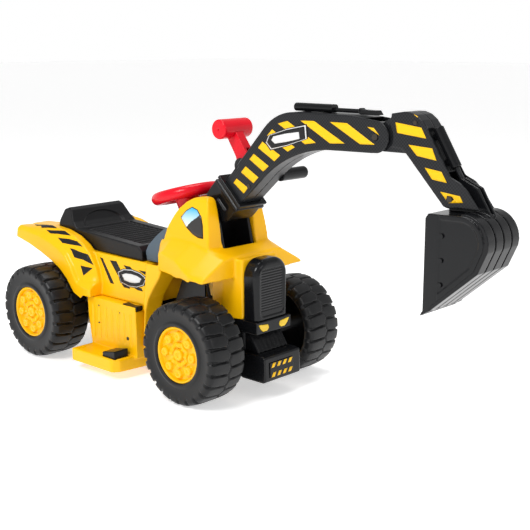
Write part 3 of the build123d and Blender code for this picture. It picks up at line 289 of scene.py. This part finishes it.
# ---- wheels, in millimetres from the wheel's middle --------------------------------------
LUGS = 24
TURN_STEPS = 576
LUG_DEPTH = 5.6
MIDDLE_GROOVE_DEPTH = 2.4
ZIGZAG = 3.0                # swing of the middle groove to each side
TREAD_RADIUS = 99.8
CROWN = 2.6                 # how much lower the tread is at its edges
TREAD_EDGE = 38             # half the width of the rolling face
PATTERN_LOW, PATTERN_FULL = 84, 93          # radii between which the lugs fade in on the side
INSIDE_RADIUS = 91          # the hollow under the tread stays within this radius
# Radius and distance outboard of the wheel's middle, round its closed cross-section.
OUTER_SIDE = [(54.6, 24), (54.6, 42.4), (56, 43.8), (61, 44.0), (63.5, 42.4), (66, 42.0),
              (74, 42.6), (81, 43.6), (86, 44.8), (90, 44.6), (93.5, 43.2), (96, 40.5)]
INNER_SIDE = [(96, -40.5), (92, -44), (86, -45), (78.5, -45), (78, -41.5), (86, -40.5),
              (90, -34), (90, 34), (86, 38.6), (59.2, 38.6), (58.6, 20.4), (14.5, 20),
              (14, -43.6), (6.2, -43.6), (6.2, 23.6)]


def tread_radius(across):
    """Crowned tread between the shoulders."""
    return TREAD_RADIUS - CROWN * (abs(across) / 40) ** 4


def groove_depth(turn, across):
    """How deep the pattern is cut at a turn in degrees and a distance across the tread."""
    pitch = 360 / LUGS
    shift = 0 if across > 0 else pitch / 2
    lean = 0.04 * abs(across)
    arc = ((turn + shift + lean + pitch / 2) % pitch - pitch / 2) * math.radians(1) * 98
    wide = 1.5 + 1.6 * smooth_step(24, 44, abs(across))
    block = 1 - smooth_step(wide, wide + 1.2, abs(arc))
    block *= smooth_step(2.5, 6, abs(across))
    zigzag = ZIGZAG * (abs((turn % pitch) / pitch * 4 - 2) - 1)
    line = 1 - smooth_step(0.8, 2.0, abs(across - zigzag))
    return max(LUG_DEPTH * block, MIDDLE_GROOVE_DEPTH * line)


def ring_point(radius, turn, y):
    """Point in metres at a radius, a turn in degrees about the Y axis and a distance along it."""
    angle = math.radians(turn)
    return (radius * math.cos(angle) / 1000, y / 1000, radius * math.sin(angle) / 1000)


def tyre_mesh(name):
    """Hollow moulded wheel with its block tread, about the Y axis."""
    across = [TREAD_EDGE - 2 * step for step in range(TREAD_EDGE + 1)]
    profile = OUTER_SIDE + [(tread_radius(y), y) for y in across] + INNER_SIDE
    count = len(profile)
    vertices = []
    for step in range(TURN_STEPS):
        turn = 360 * step / TURN_STEPS
        for radius, y in profile:
            side = abs(y)
            hollow = side < TREAD_EDGE + 1 and radius < INSIDE_RADIUS
            if radius > PATTERN_LOW and not hollow:
                fade = (smooth_step(PATTERN_LOW, PATTERN_FULL, radius)
                        if side > TREAD_EDGE else 1.0)
                depth = groove_depth(turn, y) * fade
                radius -= depth * (1.0 if side <= 40 else 0.6)
                if side > TREAD_EDGE + 1:
                    y -= math.copysign(0.45 * depth, y)
            vertices.append(ring_point(radius, turn, y))
    faces = []
    for step in range(TURN_STEPS):
        after = (step + 1) % TURN_STEPS
        for k in range(count):
            n = (k + 1) % count
            faces.append((step * count + k, step * count + n,
                          after * count + n, after * count + k))
    mesh = bpy.data.meshes.new(name)
    mesh.from_pydata(vertices, [], faces)
    return mesh


CAP_RINGS = 80
CAP_STEPS = 240
CAP_RADIUS = 54.2
CAP_DISH = 34.0             # how far outboard the dish lies
CAP_BACK = 31.0             # and the flat back behind it
CAP_SKIRT = 26              # and the edge of the skirt
BOSSES = 8
BOSS_CIRCLE = 36.5


def cap_height(radius, turn):
    """Outboard face of the hubcap: rim, dish with round bosses, notched ring and centre."""
    height = CAP_DISH
    height += 7.8 * smooth_step(47, 51, radius) - 0.9 * smooth_step(52.5, 54, radius)
    ring = smooth_step(14, 15.5, radius) * (1 - smooth_step(22.5, 24.5, radius))
    notch = 0.72 + 0.28 * math.cos(math.radians(turn * BOSSES))
    height += 6.4 * ring * notch
    height += 6.9 * (1 - smooth_step(10, 12, radius))
    height -= 2.2 * (1 - smooth_step(3.0, 5.0, radius))
    pitch = 360 / BOSSES
    off = (turn + pitch / 2) % pitch - pitch / 2
    x = radius * math.cos(math.radians(off)) - BOSS_CIRCLE
    y = radius * math.sin(math.radians(off))
    distance = math.hypot(x, y)
    height += 7.0 * (1 - smooth_step(8.0, 9.4, distance))
    height -= 1.6 * (1 - smooth_step(2.4, 3.8, distance))
    return height


def cap_mesh(name):
    """Hubcap as one dished moulding with a skirt, about the Y axis."""
    vertices = [(0, cap_height(0, 0) / 1000, 0)]
    rows = []
    radii = [CAP_RADIUS * (ring + 1) / CAP_RINGS for ring in range(CAP_RINGS)]
    rings = [(r, None) for r in radii]
    rings += [(CAP_RADIUS, CAP_SKIRT), (50.5, CAP_SKIRT), (50, CAP_BACK), (8, CAP_BACK)]
    for radius, fixed in rings:
        row = []
        for step in range(CAP_STEPS):
            turn = 360 * step / CAP_STEPS
            y = cap_height(radius, turn) if fixed is None else fixed
            row.append(len(vertices))
            vertices.append(ring_point(radius, turn, y))
        rows.append(row)
    vertices.append((0, CAP_BACK / 1000, 0))
    last = len(vertices) - 1
    faces = []
    for step in range(CAP_STEPS):
        after = (step + 1) % CAP_STEPS
        faces.append((0, rows[0][step], rows[0][after]))
        for low, high in zip(rows, rows[1:]):
            faces.append((low[step], high[step], high[after], low[after]))
        faces.append((rows[-1][after], rows[-1][step], last))
    mesh = bpy.data.meshes.new(name)
    mesh.from_pydata(vertices, [], faces)
    return mesh


def face_outwards(mesh):
    """Turn every face of a closed mesh to look outwards."""
    work = bmesh.new()
    work.from_mesh(mesh)
    bmesh.ops.recalc_face_normals(work, faces=work.faces)
    work.to_mesh(mesh)
    work.free()


REAR_TURN = 7               # degrees, so that the front and rear treads don't match
for kind, make in (("wheel", tyre_mesh), ("hubcap", cap_mesh)):
    base = make(kind)
    face_outwards(base)
    for end, x, degrees in (("rear", REAR_X, REAR_TURN), ("front", FRONT_X, 0)):
        for hand, sign in SIDES:
            node = f"{kind}_{end}_{hand}"
            mesh = base.copy()
            turned = Matrix.Rotation(math.radians(degrees), 4, "Y")
            flip = Matrix.Identity(4) if sign > 0 else Matrix.Rotation(math.pi, 4, "X")
            mesh.transform(Matrix.Translation((x, sign * TRACK_Y, AXLE_Z)) @ flip @ turned)
            new_piece("look_" + node, mesh, node)

# ---- mouldings ---------------------------------------------------------------------------
# Seat, in millimetres from its own rear end and from the ground.
SEAT_LIP = 16               # from the seat's box to the foot of its backrest
OVAL_FOOT = 279             # height at which the oval on the backrest starts
OVAL_HALF, OVAL_HEIGHT = 56, 27
OVAL_DEPTH = 3.2
PAN_REAR, PAN_LENGTH = 50, 188
PAN_HEIGHT, PAN_FALL = 270.5, 11            # height at its rear, and the drop to its front
RIB_START, RIB_PITCH = 61.5, 15
RIB_RISE, RIB_VALLEY = 2.2, 0.8
seat_low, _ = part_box("seat")


def seat_shape(point):
    """Press the shallow oval into the backrest and sharpen the cross ribs of the pan."""
    x, y, z = point
    along = (x - seat_low.x) * 1000 - SEAT_LIP
    height = z * 1000
    if 14 < along < 46 and height > OVAL_FOOT:
        oval = math.hypot(y * 1000 / OVAL_HALF, (height - OVAL_FOOT) / OVAL_HEIGHT)
        press = OVAL_DEPTH * (1 - smooth_step(0.88, 1.0, oval))
        return Vector((x - press / 1000, y, z - 0.5 * press / 1000))
    top = PAN_HEIGHT - (along - PAN_REAR) * PAN_FALL / PAN_LENGTH
    if 56 < along < 236 and abs(y) < 0.061 and height > top - 2.5:
        step = (along - RIB_START) % RIB_PITCH
        rib = 1 - smooth_step(3.6, 5.4, min(step, RIB_PITCH - step))
        edge = 1 - smooth_step(56, 60, abs(y) * 1000)
        return Vector((x, y, z + (RIB_RISE * rib - RIB_VALLEY) * edge / 1000))
    return point


RIDGE_PITCH = 5.2           # millimetres
RIDGE_DEPTH = 0.0011
SUNK_HALF = 0.0295          # half the width of the grille's sunk face
FACE_SKIN = 0.004           # only points this near the front are moved
_, grille_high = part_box("grille")


def grille_shape(point):
    """Fine level ridges across the sunk face of the grille."""
    x, y, z = point
    from_top = (grille_high.z - z) * 1000
    if x < grille_high.x - FACE_SKIN or abs(y) > SUNK_HALF or not 17 < from_top < 100:
        return point
    wave = 0.5 + 0.5 * math.cos(math.radians(from_top * 360 / RIDGE_PITCH))
    return Vector((x - RIDGE_DEPTH * wave, y, z))


FLUTE_START, FLUTE_PITCH = 146, 20          # millimetres forward of the rear axle
FLUTE_DEPTH = 0.0016
COLUMN_FACE = 0.108         # the column's outer face lies beyond this


def column_shape(point):
    """Upright flutes on the outer face of a footboard's column."""
    x, y, z = point
    along = (x - REAR_X) * 1000
    height = z * 1000
    if abs(y) < COLUMN_FACE or not 52 < height < 140 or not 138 < along < 268:
        return point
    step = (along - FLUTE_START) % FLUTE_PITCH
    flute = 1 - smooth_step(1.4, 3.4, min(step, FLUTE_PITCH - step))
    ends = smooth_step(60, 68, height) * (1 - smooth_step(128, 134, height))
    return Vector((x, y - math.copysign(FLUTE_DEPTH * flute * ends, y), z))


# Mesh spacing in millimetres, rounding passes, share of the faces kept, and any shape.
MOULDINGS = {
    "body_shell": (1.6, 8, 0.35),
    "front_cowl": (1.5, 30, 0.4),
    "console": (1.4, 4, 0.5),
    "footboard_left": (1.5, 5, 0.4, column_shape),
    "footboard_right": (1.5, 5, 0.4, column_shape),
    "seat": (1.2, 16, 0.6, seat_shape),
    "steering_wheel": (1.6, 4, 0.5),
    "grille": (1.0, 4, 0.5, grille_shape),
    "hazard_plate": (0.7, 2, 0.5),
    "bumper": (1.6, 4, 0.4),
    "light_strip": (1.2, 2, 0.5),
    "chin_grille": (1.2, 2, 0.4),
    "headlights": (0.7, 3, 0.5),
    "pedal": (1.0, 4, 0.5),
    "drive_switch": (0.8, 3, 0.5),
    "boom_shell_left": (1.2, 3, 0.4),
    "dipper_shell_left": (1.1, 3, 0.4),
    "boom_shell_right": (1.2, 3, 0.4),
    "dipper_shell_right": (1.1, 3, 0.4),
    "boom_socket": (1.4, 3, 0.5),
    "boom_mount": (1.8, 3, 0.5),
    "boom_cylinder": (0.9, 3, 0.5),
    "boom_cylinder_rod": (0.8, 3, 0.5),
    "dipper_cylinder": (0.9, 3, 0.5),
    "boom_grip": (1.0, 3, 0.5),
    "lever_arm": (0.9, 3, 0.5),
    "lever_grip": (1.2, 3, 0.5),
    "bucket": (1.0, 2, 0.45),
}
looks = {node: moulded(node, *how) for node, how in MOULDINGS.items()}


# ---- printed film ------------------------------------------------------------------------
FILM_GAP = 0.00035          # from the surface to a film with lift 1
FILM_THICKNESS = FILM_GAP * 0.8
FILM_REACH = 0.4            # how far an outline may drop
FILM_EDGE = 0.006
FENDER_EDGE, FENDER_LIFT = 0.003, 3.0       # finer and higher, as the fender is steep
# Planes that outlines drop from, in millimetres from the middle or above the ground.
ARM_PLANE, BODY_PLANE, COLUMN_PLANE, TOP_PLANE = 40, 125, 200, 400
DOWN = Vector((0, 0, -1))


def surface(piece):
    """Ray-cast tree of a finished piece."""
    vertices = [v.co.copy() for v in piece.data.vertices]
    return BVHTree.FromPolygons(vertices, [list(p.vertices) for p in piece.data.polygons])


def film(name, outline, along, tree, node, material, lift=1.0, edge=FILM_EDGE):
    """A thin printed film laid on a surface, riding with a node.

    outline holds points in the row's frame on a plane outside the surface, along is the
    direction in which they drop on to it, lift raises the film over others, and edge is the
    longest mesh edge.
    """
    work = bmesh.new()
    work.faces.new([work.verts.new(p) for p in outline])
    bmesh.ops.triangulate(work, faces=work.faces)
    for _ in range(6):
        long_edges = [e for e in work.edges if e.calc_length() > edge]
        if not long_edges:
            break
        bmesh.ops.subdivide_edges(work, edges=long_edges, cuts=1)
        bmesh.ops.triangulate(work, faces=work.faces)
    lost = []
    for vertex in work.verts:
        hit = tree.ray_cast(vertex.co, along, FILM_REACH)[0]
        if hit is None:
            lost.append(vertex)
            continue
        vertex.co = hit - along * FILM_GAP * lift
    bmesh.ops.delete(work, geom=lost, context="VERTS")
    sheet = bmesh.ops.extrude_face_region(work, geom=work.faces[:])
    for item in sheet["geom"]:
        if isinstance(item, bmesh.types.BMVert):
            item.co += along * FILM_THICKNESS
    bmesh.ops.recalc_face_normals(work, faces=work.faces)
    mesh = bpy.data.meshes.new(name)
    work.to_mesh(mesh)
    work.free()
    return new_piece(name, mesh, node, material, stands_for=False)


def side_outline(points, y):
    """Side-view outline on a plane at y, all in millimetres."""
    return [mm(x, y, z) for x, z in points]


def inwards(sign):
    """Direction from one side towards the middle."""
    return Vector((0, -sign, 0))


def shrunk(outline, share_x, share_z, middle=None):
    """The same outline drawn smaller, round a given point or its own middle."""
    if middle is None:
        middle = (sum(x for x, _ in outline) / len(outline),
                  sum(z for _, z in outline) / len(outline))
    return [(middle[0] + (x - middle[0]) * share_x, middle[1] + (z - middle[1]) * share_z)
            for x, z in outline]


# Side-view outlines as (x, z), but the fender's are (x, y) as seen from above.
BOOM_FILMS = [
    [(470, 409), (478, 418), (508, 403), (497, 391)],
    [(490, 431), (502, 443), (535, 425), (522, 413)],
    [(512, 457), (523, 468), (561, 448), (547, 437)],
    [(534, 480), (545, 492), (589, 470), (575, 458)],
    [(557, 504), (569, 516), (624, 487), (607, 478)],
    [(583, 527), (606, 533), (673, 498), (648, 494)],
    [(637, 535), (668, 536), (737, 501), (705, 499)],
    [(704, 536), (741, 536), (801, 503), (770, 502)],
    [(784, 532), (798, 531), (810, 519)],
]
DIPPER_FILMS = [
    [(838, 542), (889, 536), (899, 519), (842, 525)],
    [(865, 507), (911, 504), (920, 485), (882, 490)],
    [(898, 472), (930, 468), (941, 451), (913, 454)],
    [(929, 436), (966, 432), (972, 422), (945, 419)],
    [(873, 557), (886, 552), (889, 547)],
]
PANEL_FILMS = [
    [(137, 227), (146, 226), (188, 178), (176, 178)],
    [(170, 225), (191, 226), (212, 204), (198, 198)],
    [(214, 221), (236, 221), (246, 214), (226, 214)],
    [(262, 218), (284, 218), (284, 211)],
    [(212, 182), (236, 182), (240, 176), (220, 176)],
    [(249, 181), (274, 183), (280, 177), (262, 177)],
]
FENDER_FILMS = [
    [(-75, 107), (-40, 103), (-24, 105), (-58, 113)],
    [(-48, 109), (-7, 106), (11, 109), (-35, 117)],
    [(-15, 119), (38, 108), (60, 109), (2, 121)],
    [(29, 121), (81, 109.5), (99, 109), (48, 123)],
    [(70, 121), (116, 109), (133, 108), (86, 122)],
    [(104, 120), (132, 110), (114, 121)],
]
PANEL_BADGE = [(196, 205), (214, 214), (240, 217), (268, 214), (290, 206), (284, 198),
               (283, 189), (262, 181), (236, 179), (208, 184), (206, 195)]
BOOM_BADGE = [(552, 490), (565, 477), (608, 488), (655, 504), (652, 530), (606, 520),
              (560, 505)]
BADGE_LAYERS = ((1.0, 1.0, STRIPE_BLACK), (0.95, 0.92, FILM_WHITE), (0.90, 0.84, STRIPE_BLACK),
                (0.66, 0.46, FILM_WHITE))
BADGE_LIFT = 1.6
WINDOW_EDGE = [(375, 338), (387, 352), (402, 361), (418, 357), (432, 345), (438, 328),
               (442, 304), (428, 304), (412, 309), (393, 320)]
WINDOW_MIDDLE = (408, 332)
WINDOW_LIFT = 2.2


def badge(name, outline, y, tree, node):
    """Blank generic badge: dark edge, pale rim, dark middle and a pale bar on it."""
    for k, (share_x, share_z, material) in enumerate(BADGE_LAYERS):
        film(f"{name}_{k}", side_outline(shrunk(outline, share_x, share_z), y),
             inwards(math.copysign(1, y)), tree, node, material, BADGE_LIFT + k)


for hand, sign in SIDES:
    for films, part in ((BOOM_FILMS, "boom_shell_"), (DIPPER_FILMS, "dipper_shell_")):
        node = part + hand
        tree = surface(looks[node])
        for k, outline in enumerate(films):
            film(f"{part}film_{hand}_{k}", side_outline(outline, sign * ARM_PLANE),
                 inwards(sign), tree, node, STRIPE_YELLOW)

body_tree = surface(looks["body_shell"])
cowl_tree = surface(looks["front_cowl"])
for hand, sign in SIDES:
    plane = sign * BODY_PLANE
    node = "boom_shell_" + hand
    badge("panel_badge_" + hand, PANEL_BADGE, plane, body_tree, "body_shell")
    badge("boom_badge_" + hand, BOOM_BADGE, sign * ARM_PLANE, surface(looks[node]), node)
    for k, outline in enumerate(FENDER_FILMS):
        film(f"fender_film_{hand}_{k}", [mm(x, sign * y, TOP_PLANE) for x, y in outline], DOWN,
             body_tree, "body_shell", STRIPE_BLACK, FENDER_LIFT, FENDER_EDGE)
    for k, outline in enumerate(PANEL_FILMS):
        film(f"panel_film_{hand}_{k}", side_outline(outline, plane), inwards(sign), body_tree,
             "body_shell", STRIPE_BLACK)
    film(f"window_edge_{hand}", side_outline(WINDOW_EDGE, plane), inwards(sign), cowl_tree,
         "front_cowl", STRIPE_BLACK)
    pane = shrunk(WINDOW_EDGE, 0.93, 0.95, WINDOW_MIDDLE)
    film(f"window_film_{hand}", side_outline(pane, plane), inwards(sign), cowl_tree,
         "front_cowl", WINDOW, WINDOW_LIFT)

# ---- slashes on the front plate ----------------------------------------------------------
SLASHES = 4
SLASH_ROWS = ((0.05, 0.33), (0.67, 0.95))   # as shares of the plate's height
SLASH_START, SLASH_PITCH = 0.003, 0.0158
SLASH_FOOT = (0, 0.008)                     # from and to, across the plate
SLASH_TOP = (0.0055, 0.0135)
plate_low, plate_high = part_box("hazard_plate")
plate_tree = surface(looks["hazard_plate"])
plate_height = plate_high.z - plate_low.z
for row, (low, high) in enumerate(SLASH_ROWS):
    z_low = plate_low.z + low * plate_height
    z_high = plate_low.z + high * plate_height
    corners = [(SLASH_FOOT[0], z_low), (SLASH_FOOT[1], z_low),
               (SLASH_TOP[1], z_high), (SLASH_TOP[0], z_high)]
    for k in range(SLASHES):
        y = plate_low.y + SLASH_START + k * SLASH_PITCH
        outline = [Vector((plate_high.x + 0.01, y + across, z)) for across, z in corners]
        film(f"plate_film_{row}_{k}", outline, Vector((-1, 0, 0)), plate_tree, "hazard_plate",
             STRIPE_YELLOW)

# ---- screws on the footboard columns -----------------------------------------------------
COLUMN_SCREWS = [(164, 132, 1.9), (163, 95, 1.9), (232, 128, 1.6), (256, 78, 4.0)]
for hand, sign in SIDES:
    node = "footboard_" + hand
    tree = surface(looks[node])
    for k, (x, z, radius) in enumerate(COLUMN_SCREWS):
        ring = [(x + radius * math.cos(math.radians(a)), z + radius * math.sin(math.radians(a)))
                for a in range(0, 360, 30)]
        film(f"column_screw_{hand}_{k}", side_outline(ring, sign * COLUMN_PLANE),
             inwards(sign), tree, node, BRONZE)

# ---- floor, light and camera -------------------------------------------------------------
FLOOR_HALF = 30
FLOOR_DROP = 0.0002         # keeps the floor clear of the tyres
FLOOR_GLOW = 0.50
HORIZON, OVERHEAD = 1.0, 0.45               # strength of the white sky
FADE_FROM, FADE_TO = 0.12, 0.45             # between these heights of the view direction
scene = bpy.context.scene
floor_mesh = bpy.data.meshes.new("floor")
floor_mesh.from_pydata([(-FLOOR_HALF, -FLOOR_HALF, 0), (FLOOR_HALF, -FLOOR_HALF, 0),
                        (FLOOR_HALF, FLOOR_HALF, 0), (-FLOOR_HALF, FLOOR_HALF, 0)], [],
                       [(0, 1, 2, 3)])
floor = bpy.data.objects.new("floor", floor_mesh)
scene.collection.objects.link(floor)
paper = plastic("studio_floor", (0.90, 0.90, 0.90), (0.89, 0.89, 0.89), 0.6, 40, 0.0)
shader_of(paper).inputs["Emission Color"].default_value = (1, 1, 1, 1)
shader_of(paper).inputs["Emission Strength"].default_value = FLOOR_GLOW
dress(floor, paper)
floor.location.z = -FLOOR_DROP

# white round the horizon, dimmer overhead, so that the lamps give the shading
world = bpy.data.worlds.new("studio")
world.use_nodes = True
scene.world = world
sky_tree = world.node_tree
backdrop = sky_tree.nodes["Background"]
backdrop.inputs["Color"].default_value = (1.0, 1.0, 1.0, 1)
direction = add_node(sky_tree, "TexCoord").outputs["Generated"]
parts = add_node(sky_tree, "SeparateXYZ", {"Vector": direction})
fade = add_node(sky_tree, "MapRange", {"Value": parts.outputs["Z"],
                                       "From Min": FADE_FROM, "From Max": FADE_TO,
                                       "To Min": HORIZON, "To Max": OVERHEAD})
sky_tree.links.new(fade.outputs["Result"], backdrop.inputs["Strength"])

LIGHT_AIM = Vector((0.0, 0.0, 0.25))


def soft_light(name, place, size, power):
    """Large square light aimed at the middle of the toy."""
    light = bpy.data.lights.new(name, "AREA")
    light.size = size
    light.energy = power
    lamp = bpy.data.objects.new(name, light)
    lamp.location = place
    aim = LIGHT_AIM - Vector(place)
    lamp.rotation_euler = aim.to_track_quat("-Z", "Y").to_euler()
    scene.collection.objects.link(lamp)


soft_light("key", (0.3, -2.2, 2.4), 0.9, 54)
soft_light("front", (2.6, 0.2, 1.6), 0.8, 12)
soft_light("top", (-0.4, 0.3, 3.0), 1.4, 30)

FOCAL_PIXELS = 1023.5
IMAGE_PIXELS = 530
SENSOR_MM = 36.0
YAW = math.radians(132.628)
PITCH = math.radians(-12.255)
lens = bpy.data.cameras.new("photo_view")
lens.sensor_width = SENSOR_MM
lens.lens = FOCAL_PIXELS * SENSOR_MM / IMAGE_PIXELS
camera = bpy.data.objects.new("photo_view", lens)
scene.collection.objects.link(camera)
camera.location = mm(1827.4, -1414.9, 669.9)
forward = Vector((math.cos(YAW) * math.cos(PITCH), math.sin(YAW) * math.cos(PITCH),
                  math.sin(PITCH)))
camera.rotation_euler = forward.to_track_quat("-Z", "Y").to_euler()
scene.camera = camera
scene.view_settings.view_transform = "Standard"
